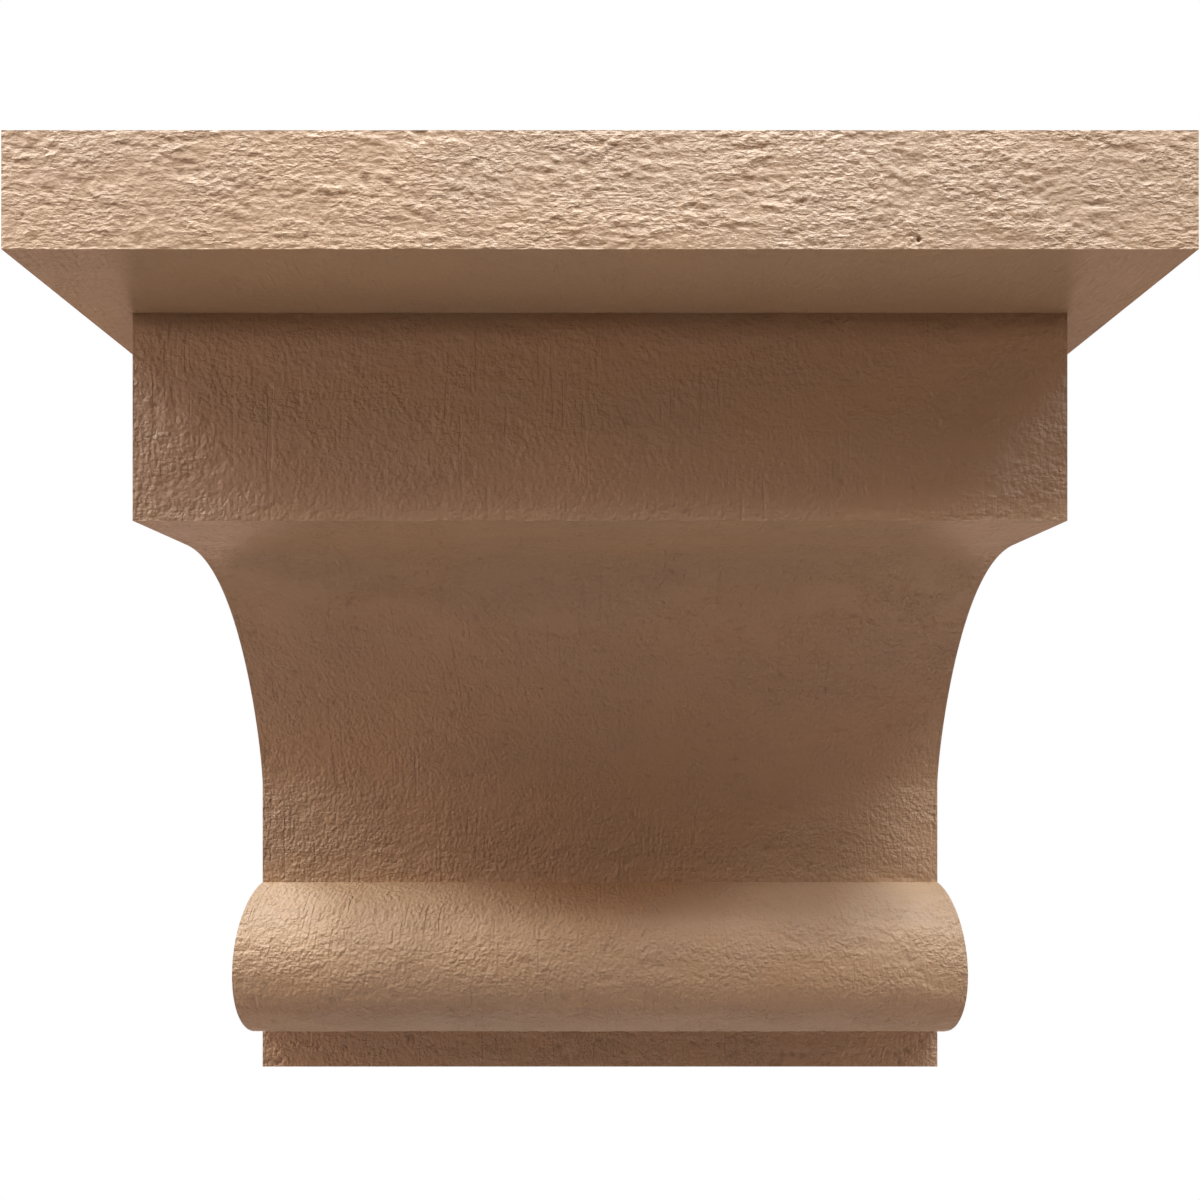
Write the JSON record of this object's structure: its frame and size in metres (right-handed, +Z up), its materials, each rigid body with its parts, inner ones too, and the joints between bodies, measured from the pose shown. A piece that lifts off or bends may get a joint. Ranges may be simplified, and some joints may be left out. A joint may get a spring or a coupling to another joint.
{
  "type": "wall corbel",
  "caption": "Moulded wall corbel: a wide flat slab over a square block, a concave cove and a half-round roll, with a flat back to fix to a wall and a flat top to carry a shelf or beam.",
  "frame": {"origin": "middle of the flat back, half way up and half way across, where the corbel lies against the wall", "axes": "+Z up, +Y into the wall (the front faces -Y), +X to the viewer's right"},
  "size_m": [0.254, 0.1524, 0.2414],
  "materials": {
    "tan_sawn_finish": "satin"
  },
  "bodies": {
    "root": {"corbel": "tan_sawn_finish"}
  },
  "joints": []
}
